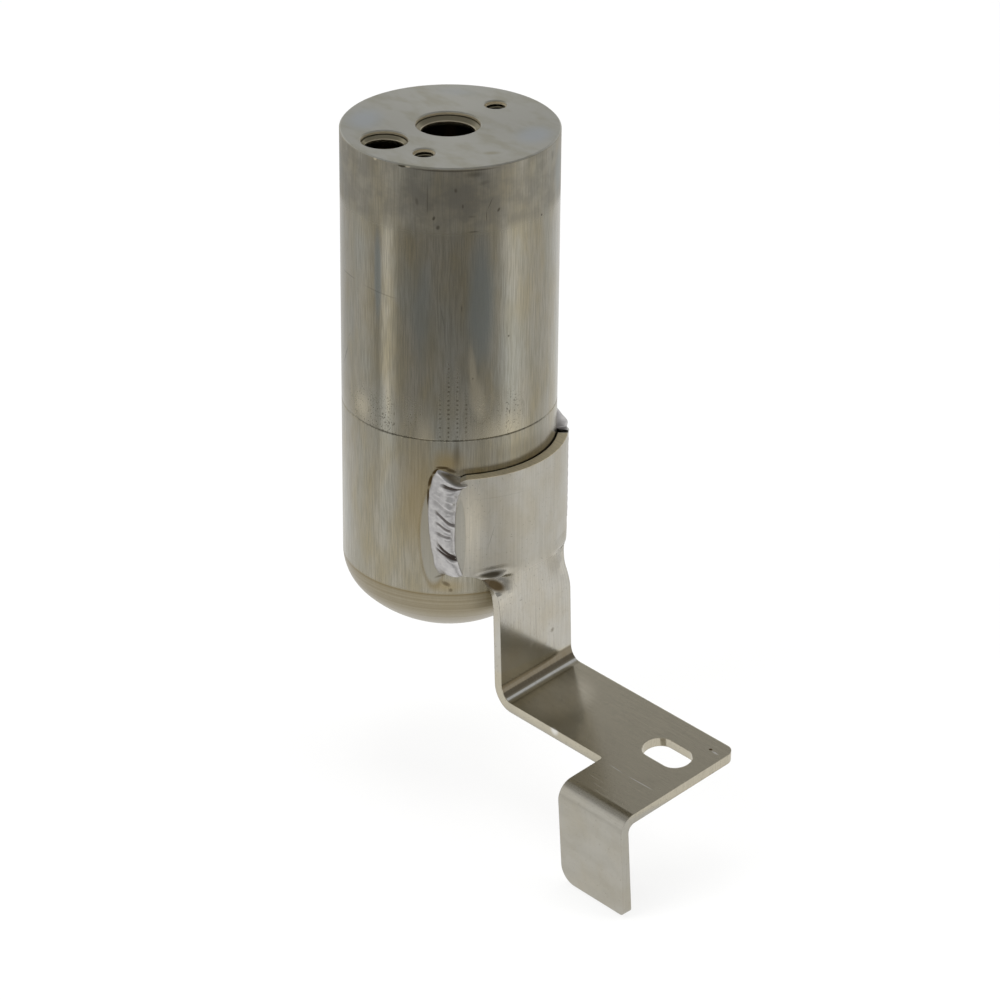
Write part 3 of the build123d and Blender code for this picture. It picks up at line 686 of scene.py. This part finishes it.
def buildBracketMaterial():
    c = bracketSettings
    material, tree = newMaterial("rolledAluminiumSheet")
    point, _, height = surfacePoint(tree)
    rolled = grain(tree, point, c["legLine"])
    cloud = grain(tree, point, c["cloud"], 5.0, 4.0)
    mottle = grain(tree, point, c["mottle"], 13.0, 3.0)
    tilted = addNode(tree, "ShaderNodeMapping", {
        "Vector": point, "Rotation": tuple(radians(turn) for turn in c["scratchTurn"])}).outputs[0]
    scratchy = over(tree, grain(tree, tilted, c["scratchLine"], 19.0, 1.0), 0.75, 0.03)
    pits = over(tree, grain(tree, point, c["pits"], 43.0, 0.0), 0.79, 0.02)
    saddle = over(tree, height, c["saddleBottom"], 2.5)
    shorn = over(tree, height, c["shornBottom"], 0.1)
    foot = between(tree, height, *c["footLevels"], 0.8)
    tab = under(tree, height, c["tabTop"], 1.2)
    inner = over(tree, addNode(tree, "ShaderNodeSeparateXYZ", {0: point}).outputs["Y"], c["innerSide"], 0.1)
    bendLevel = addNode(tree, "ShaderNodeVectorMath", {0: point, 1: (0, c["bendSlope"], 1)},
                        operation="DOT_PRODUCT").outputs["Value"]
    # painted shade and painted highlight across the bend
    bendShade = times(tree, inner, between(tree, bendLevel, *c["bendLevels"], 0.4))
    bendShine = times(tree, inner, between(tree, bendLevel, *c["shineLevels"], 0.12))
    melted = marks(tree, point, c["meltedStrip"])
    meltLine = addNode(tree, "ShaderNodeMath", {0: marks(tree, point, c["stripRim"]), 1: melted},
                       operation="SUBTRACT", use_clamp=True).outputs[0]
    soilAndPocketShade = marks(tree, point, c["soilAndPocketShadePlaces"])
    scores = marks(tree, point, c["scores"])
    colour = layered(tree, c["sheet"], [
        (over(tree, cloud, 0.53, 0.2), c["warm"]),
        (foot, c["foot"]),
        # painted light
        (marks(tree, point, c["paintedLightPlaces"]), c["paintedLight"]),
        (tab, c["scratch"], 0.4),
        (shorn, c["shorn"]),
        # painted shade on the bend, then its line of painted highlight
        (bendShade, c["bendShade"], 0.85),
        (bendShine, c["bendShine"]),
        (over(tree, rolled, 0.52, 0.2), c["scratch"], 0.22),
        (over(tree, mottle, 0.62, 0.1), c["scratch"], 0.12),
        (shifted(tree, 0.0, [(scratchy, 0.3), (scores, 0.9), (pits, 0.6)]), c["scratch"]),
        (melted, c["melted"], 0.6),
        (meltLine, c["scratch"], 0.4),
        (marks(tree, point, c["shadePlaces"]), c["shade"]),
        # brown marks, and painted shade in the dart's pocket
        (soilAndPocketShade, c["soilAndPocketShade"]),
        (marks(tree, point, c["polished"]), c["bright"]),
    ])
    roughness = shifted(tree, c["roughness"], [
        (rolled, 0.03), (cloud, 0.05), (soilAndPocketShade, 0.35), (scratchy, 0.1), (saddle, 0.3), (shorn, 0.25), (tab, 0.15)])
    relief = shifted(tree, 0.0, [
        (rolled, 0.05), (mottle, 0.05), (scratchy, -0.15), (scores, -0.6), (pits, -0.4), (soilAndPocketShade, -0.3),
        (meltLine, -0.2)])
    finishMetal(tree, colour, roughness, relief, 0.03, c["edgeRadius"])
    return material


# Weld metal: aluminium that set from the melt, bright and smooth, with satin ripples, painted shade in the hollows of
# its ripples, and painted shade at its root past the sheet's edge
weldSettings = {
    "metal": "#C1BFBD",
    "satin": "#B4B2B1",
    # painted shade in the bead's grooves and at its root
    "darkening": "#4A423D",
    "cloud": (1.6, 1.6, 1.2),
    "skin": (0.25, 0.25, 0.12),
    "roughness": 0.27,
}


def buildWeldMaterial():
    c = weldSettings
    material, tree = newMaterial("weldedAluminium")
    point, _, _ = surfacePoint(tree)
    cloud = grain(tree, point, c["cloud"], 3.0, 3.0)
    skin = grain(tree, point, c["skin"], 9.0)
    # painted shade in the bead's grooves and at its root
    beadShade = addNode(tree, "ShaderNodeAttribute", attribute_name="beadShade").outputs["Fac"]
    colour = layered(tree, c["metal"], [(over(tree, cloud, 0.5, 0.15), c["satin"]), (beadShade, c["darkening"])])
    roughness = shifted(tree, c["roughness"], [(cloud, 0.12), (beadShade, 0.2)])
    finishMetal(tree, colour, roughness, times(tree, skin, 0.12), 0.03, 0.05)
    return material


# Pieces inside the can: plain drawn tube, pressed plate, spring wire, moulded nylon and needled felt, whose fibres
# are drawn several times as thick as the real ones
innerFinishes = {
    "drawnAluminiumTube": {"colour": "#C6C5C1", "other": "#AFADA7", "grain": (0.3, 0.3, 18.0), "metal": 1.0,
                           "roughness": 0.28, "depth": 0.02},
    "pressedAluminiumPlate": {"colour": "#C2C1BC", "other": "#A9A7A1", "grain": (1.2, 1.2, 1.2), "metal": 1.0,
                              "roughness": 0.34, "depth": 0.03},
    "drawnSpringSteel": {"colour": "#8E8D8A", "other": "#6F6D69", "grain": (0.4, 0.4, 0.4), "metal": 1.0,
                         "roughness": 0.36, "depth": 0.02},
    "mouldedNylon": {"colour": "#DEDACB", "other": "#D2CDBB", "grain": (2.0, 2.0, 2.0), "metal": 0.0,
                     "roughness": 0.42, "depth": 0.02},
    "needledFelt": {"colour": "#DDD8C8", "other": "#C4BDA8", "grain": (0.35, 0.35, 0.2), "metal": 0.0,
                    "roughness": 0.95, "depth": 0.25},
}


def buildInnerMaterial(name):
    c = innerFinishes[name]
    material, tree = newMaterial(name)
    point, _, _ = surfacePoint(tree)
    fibre = grain(tree, point, c["grain"], 2.0, 3.0)
    colour = layered(tree, c["colour"], [(over(tree, fibre, 0.52, 0.2), c["other"])])
    roughness = shifted(tree, c["roughness"], [(fibre, 0.06)])
    bump = addNode(tree, "ShaderNodeBump", {"Strength": 1.0, "Distance": c["depth"] * mm, "Height": fibre}).outputs[0]
    shader = addNode(tree, "ShaderNodeBsdfPrincipled", {
        "Base Color": colour, "Metallic": c["metal"], "Roughness": roughness, "Normal": bump})
    addNode(tree, "ShaderNodeOutputMaterial", {0: shader.outputs[0]})
    return material


# Molecular sieve: clay-bound beads, pressed together, with painted shade in the gaps between them
bedSettings = {"bead": "#D8CFBA", "gapShade": "#7E7562", "beadSize": 2.0, "depth": 1.0, "roughness": 0.8}


def buildBeadBedMaterial():
    c = bedSettings
    material, tree = newMaterial("molecularSieveBeads")
    point, _, _ = surfacePoint(tree)
    cells = addNode(tree, "ShaderNodeTexVoronoi", {"Vector": point, "Scale": 1 / c["beadSize"]})
    away = cells.outputs["Distance"]
    ball = addNode(tree, "ShaderNodeMapRange", {"Value": away, 1: 0.0, 2: 0.7, 3: 1.0, 4: 0.0}).outputs[0]
    # painted shade in the gaps between the beads
    colour = layered(tree, c["bead"], [(over(tree, away, 0.5, 0.2), c["gapShade"])])
    bump = addNode(tree, "ShaderNodeBump", {"Strength": 1.0, "Distance": c["depth"] * mm, "Height": ball}).outputs[0]
    shader = addNode(tree, "ShaderNodeBsdfPrincipled", {
        "Base Color": colour, "Roughness": c["roughness"], "Normal": bump})
    addNode(tree, "ShaderNodeOutputMaterial", {0: shader.outputs[0]})
    return material


# Weld bead: a low ridge from the can's skin up on to the sheet. Its outline is listed as heights with the angles
# round the can where its two sides lie. Each groove has its height at mid-width, depth, half-width, slant, and
# the shares of the width between which it runs
frontBead = {
    "name": "frontWeldBead",
    "replaces": "front_weld_bead",
    "rows": 330,
    "columns": 84,
    "outline": [(-88.5, -44.6, -34.4), (-89.0, -46.6, -32.6), (-90.2, -48.2, -31.5), (-91.4, -49.2, -31.8),
                (-93.5, -50.1, -34.0), (-96.0, -50.9, -35.6), (-98.5, -51.4, -36.7), (-103.0, -51.7, -37.3),
                (-109.0, -51.0, -37.5), (-113.0, -50.0, -37.3), (-116.0, -49.1, -36.4), (-118.5, -48.0, -35.0),
                (-120.0, -46.9, -33.9), (-121.0, -45.9, -33.4), (-121.6, -44.4, -34.0)],
    "canLevel": 29.8,
    "sheetLevel": 33.28,
    "canSunk": 0.1,  # how far its underside lies in the can, and in the sheet
    "sheetSunk": 0.4,
    "bulge": 1.35,
    "crown": 0.9,  # the lump near its top, with its height, its reach and how it slopes
    "crownPlace": (-90.2, 2.3),
    "crownSlope": 1.6,
    "taper": 1.3,  # run-out at the top, and at the bottom
    "taperLow": 0.9,
    "climb": (-88.3, 2.5),  # height and reach of its climb on to the sheet, and of its way down again
    "landing": (-121.4, 1.1),
    "step": (0.05, 0.8),  # share of the width where the climb starts, and the share that it takes
    "lean": (-2.9, 1.0, 0.3),  # height of the sheet's side over the can's at top, middle and bottom
    "leanReach": (6.0, 4.0),
    "sheetTop": -90.4,
    "pastSheet": (-91.3, 0.8),  # height and reach of the fall of its side past the sheet's upper edge
    "wander": 0.5,  # degrees by which its side on the can wanders
    "waver": 0.35,
    "lumps": 0.09,
    "grooves": [(-92.5, 0.6, 0.42, 1.4, 0.42, 1.0), (-95.6, 0.08, 0.35, 2.2, 0.0, 1.0),
                (-97.4, 0.12, 0.35, 3.6, 0.1, 1.0), (-99.2, 0.20, 0.38, 4.6, 0.25, 1.0),
                (-102.2, 0.46, 0.34, 6.0, 0.36, 1.0), (-105.2, 0.42, 0.3, 3.6, 0.38, 0.85),
                (-107.9, 0.38, 0.28, 1.6, 0.38, 0.85), (-112.0, 0.8, 0.42, 6.4, 0.40, 1.0),
                (-113.6, 0.66, 0.32, 4.6, 0.36, 1.0)],
    "grooveTail": 0.35,  # a groove is gentler by this below its middle
    "seed": 3.0,
}
# The far bead is calmer, and runs out higher up the can
rearBead = dict(
    frontBead, name="rearWeldBead", replaces="rear_weld_bead", bulge=0.2, crown=0.35, crownPlace=(-89.2, 2.0), seed=8.0,
    taper=1.6, climb=(-84.2, 5.6), lean=(0.0, 0.0, 0.0),
    outline=[(-84.5, 55.4, 51.6), (-85.0, 56.3, 50.4), (-86.2, 57.2, 49.4), (-88.0, 57.8, 48.7), (-90.5, 58.2, 48.4),
             (-100.0, 58.3, 48.4), (-110.0, 58.1, 48.4), (-116.5, 57.4, 48.5), (-118.4, 56.0, 49.0),
             (-119.2, 53.6, 50.8)],
    grooves=[(-91.4 - 2.7 * n, 0.3, 0.4, 3.0, 0.2, 1.0) for n in range(10)])


# 0 to 1 with soft ends, for a share from under 0 to past 1
def smooth(share):
    share = min(max(share, 0.0), 1.0)
    return share * share * (3 - 2 * share)


# Angles of the bead's two sides at a height
def beadSides(outline, level):
    for (high, left, right), (low, leftLow, rightLow) in zip(outline, outline[1:]):
        if level >= low:
            share = (high - level) / (high - low)
            return left + (leftLow - left) * share, right + (rightLow - right) * share
    return outline[-1][1:]


# Depth that the grooves cut at a place on the bead, and the painted shade in them
def rippleCut(c, level, across):
    cut, darkening = 0.0, 0.0
    waver = c["waver"] * noise.noise(Vector((across * 3, level * 0.25, c["seed"])))
    for place, depth, reach, slant, start, stop in c["grooves"]:
        away = (place - slant * (across - 0.5) + waver - level) / reach
        if away > 0:
            away *= c["grooveTail"]
        fall = 1 / (1 + away ** 4) if abs(away) < 4 else 0.0
        run = smooth((across - start + 0.16) / 0.22) * smooth((stop + 0.06 - across) / 0.12)
        cut += depth * fall * run
        # painted shade in the groove
        darkening = max(darkening, smooth(depth * 1.5) * smooth((fall - 0.55) * 2.4) * run)
    return cut, darkening


def buildWeldBead(c, material):
    rows, columns = c["rows"], c["columns"]
    canLevel, sheetLevel = c["canLevel"], c["sheetLevel"]
    topLevel, lowLevel = c["outline"][0][0], c["outline"][-1][0]
    crownLevel, crownReach = c["crownPlace"]
    leanTop, leanMiddle, leanLow = c["lean"]
    reachTop, reachLow = c["leanReach"]
    climbLevel, climbReach = c["climb"]
    landLevel, landReach = c["landing"]
    stepStart, stepShare = c["step"]
    pastLevel, pastReach = c["pastSheet"]
    upper, lower, beadShades = [], [], []
    for row in range(rows + 1):
        along = row / rows
        level = topLevel + (lowLevel - topLevel) * along
        fromTop, fromLow = topLevel - level, level - lowLevel
        canSide, sheetSide = beadSides(c["outline"], level)
        canSide += c["wander"] * noise.noise(Vector((c["seed"], level * 0.35, 0.0)))
        endRound = max(1 - abs(2 * along - 1) ** 16, 0) ** 0.5
        lean = leanTop * max(1 - fromTop / reachTop, 0) + leanLow * max(1 - fromLow / reachLow, 0)
        lean += leanMiddle * min(fromTop / reachTop, fromLow / reachLow, 1)
        onSheet = smooth((climbLevel - level) / climbReach) * smooth((level - landLevel) / landReach)
        endRise = smooth(fromTop / c["taper"] + 0.1) * smooth(fromLow / c["taperLow"] + 0.1)
        for column in range(columns + 1):
            across = column / columns
            angle = radians(canSide + (sheetSide - canSide) * across)
            hump = max(1 - abs(2 * across - 1) ** 2.4, 0) ** 0.6
            base = canLevel + (sheetLevel - canLevel) * smooth((across - stepStart) / stepShare) * onSheet
            cut, darkening = rippleCut(c, level, across)
            slope = c["crownSlope"] * (across - 0.5)
            crown = c["crown"] * smooth(1 - abs(level + slope - crownLevel) / crownReach)
            lift = (c["bulge"] + crown) * hump * endRound - cut * min(hump * 1.2, 1) * endRound
            lift += c["lumps"] * noise.noise(Vector((across * 6, level * 0.8, c["seed"] + 4))) * hump
            height = level + lean * across
            overSheet = smooth((height - pastLevel) / pastReach)
            rise = endRise * (1 - overSheet * (1 - smooth((1 - across) / 0.4)))
            # painted shade at the root, on the side that stands past the sheet's edge
            darkening = max(darkening, 0.6 * overSheet * (1 - smooth((1 - across) / 0.3)))
            radius = canLevel + (base + lift - canLevel) * rise
            upper.append((radius * cos(angle) * mm, radius * sin(angle) * mm, height * mm))
            onCanAlone = across < 0.7 or height > c["sheetTop"]
            inside = canLevel - c["canSunk"] if onCanAlone else sheetLevel - c["sheetSunk"]
            inside = min(inside, radius - 0.12)
            lower.append((inside * cos(angle) * mm, inside * sin(angle) * mm, height * mm))
            beadShades.append(min(darkening, 1.0))
    count = len(upper)
    stride = columns + 1
    forward = c["outline"][0][2] > c["outline"][0][1]
    faces = []
    for row in range(rows):
        for column in range(columns):
            a = row * stride + column
            quad = (a, a + stride, a + stride + 1, a + 1)
            faces.append(quad if forward else quad[::-1])
            quad = tuple(count + v for v in quad)
            faces.append(quad[::-1] if forward else quad)
    border = list(range(columns)) + [r * stride + columns for r in range(rows)]
    border += [rows * stride + columns - s for s in range(columns)] + [(rows - r) * stride for r in range(rows)]
    for a, b in zip(border, border[1:] + border[:1]):
        quad = (a, b, count + b, count + a)
        faces.append(quad if forward else quad[::-1])
    mesh = bpy.data.meshes.new(c["name"])
    mesh.from_pydata(upper + lower, [], faces)
    # painted shade of the grooves and the root, for the weld material
    beadShade = mesh.attributes.new("beadShade", "FLOAT", "POINT")
    beadShade.data.foreach_set("value", beadShades + [0.0] * count)
    mesh.shade_smooth()
    mesh.materials.append(material)
    bead = bpy.data.objects.new(c["name"], mesh)
    bpy.context.scene.collection.objects.link(bead)
    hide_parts(c["replaces"])
    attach(bead, "root")
    print("weld bead", c["name"], len(mesh.polygons), "faces")


# Thread in the two screw holes: one V-shaped ridge that winds up the wall
threadSettings = {
    "First Place": (10.0, -17.6, -12.6),
    "Step": (-13.5, 36.7, 0.0),
    "Pitch": 1.0,
    "Wall Radius": 3.0,
    "Ridge": 0.56,
    "Turns": 11.9,
}


def buildThreads(material):
    c = threadSettings
    tree = bpy.data.node_groups.new("screwThread", "GeometryNodeTree")
    for name, value in c.items():
        kind = "NodeSocketVector" if isinstance(value, tuple) else "NodeSocketFloat"
        tree.interface.new_socket(name=name, in_out="INPUT", socket_type=kind)
    tree.interface.new_socket(name="Thread", in_out="OUTPUT", socket_type="NodeSocketGeometry")
    inputs = addNode(tree, "NodeGroupInput").outputs
    rise = addNode(tree, "ShaderNodeMath", {0: inputs["Pitch"], 1: inputs["Turns"]}, operation="MULTIPLY").outputs[0]
    spiral = addNode(tree, "GeometryNodeCurveSpiral", {
        "Resolution": 40, "Rotations": inputs["Turns"], "Start Radius": inputs["Wall Radius"],
        "End Radius": inputs["Wall Radius"], "Height": rise})
    profile = addNode(tree, "GeometryNodeCurvePrimitiveCircle", {"Resolution": 4, "Radius": inputs["Ridge"]})
    ridge = addNode(tree, "GeometryNodeCurveToMesh", {
        "Curve": spiral.outputs[0], "Profile Curve": profile.outputs[0], "Fill Caps": True})
    holes = addNode(tree, "GeometryNodeMeshLine", {"Count": 2, "Start Location": inputs["First Place"],
                                                   "Offset": inputs["Step"]})
    placed = addNode(tree, "GeometryNodeInstanceOnPoints", {"Points": holes.outputs[0], "Instance": ridge.outputs[0]})
    inMetres = addNode(tree, "GeometryNodeTransform", {0: placed.outputs[0], "Scale": (mm, mm, mm)})
    realized = addNode(tree, "GeometryNodeRealizeInstances", {0: inMetres.outputs[0]})
    finished = addNode(tree, "GeometryNodeSetMaterial", {0: realized.outputs[0], "Material": material})
    addNode(tree, "NodeGroupOutput", {0: finished.outputs[0]})

    source = bpy.data.objects.new("screwThreadSource", bpy.data.meshes.new("screwThreadSource"))
    bpy.context.scene.collection.objects.link(source)
    modifier = source.modifiers.new("thread", "NODES")
    modifier.node_group = tree
    for socket in tree.interface.items_tree:
        if socket.in_out == "INPUT":
            modifier[socket.identifier] = c[socket.name]
    made = source.evaluated_get(bpy.context.evaluated_depsgraph_get())
    mesh = bpy.data.meshes.new_from_object(made)
    bpy.data.objects.remove(source)
    mesh.name = "screwThreads"
    threads = bpy.data.objects.new("screwThreads", mesh)
    bpy.context.scene.collection.objects.link(threads)
    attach(threads, "root")
    print("screw threads", len(mesh.polygons), "faces")


# Puts its finish on a solid of the frame
def dress(node, material):
    nodes[node].material_slots[0].material = material


buildCamera()
buildRoom()
buildLightRing()
buildCeiling()
buildLamps()
print("camera and light")

canMaterial = buildCanMaterial()
weldMaterial = buildWeldMaterial()
dress("upper_shell", canMaterial)
dress("lower_shell", buildDomeMaterial())
dress("bracket", buildBracketMaterial())
plate = buildInnerMaterial("pressedAluminiumPlate")
felt = buildInnerMaterial("needledFelt")
dress("pickup_tube", buildInnerMaterial("drawnAluminiumTube"))
dress("upper_plate", plate)
dress("lower_plate", plate)
dress("hold_down_spring", buildInnerMaterial("drawnSpringSteel"))
dress("tube_strainer", buildInnerMaterial("mouldedNylon"))
dress("upper_filter_pad", felt)
dress("lower_filter_pad", felt)
dress("desiccant_bed", buildBeadBedMaterial())
print("metals and fillings")

buildWeldBead(frontBead, weldMaterial)
buildWeldBead(rearBead, weldMaterial)
buildThreads(canMaterial)
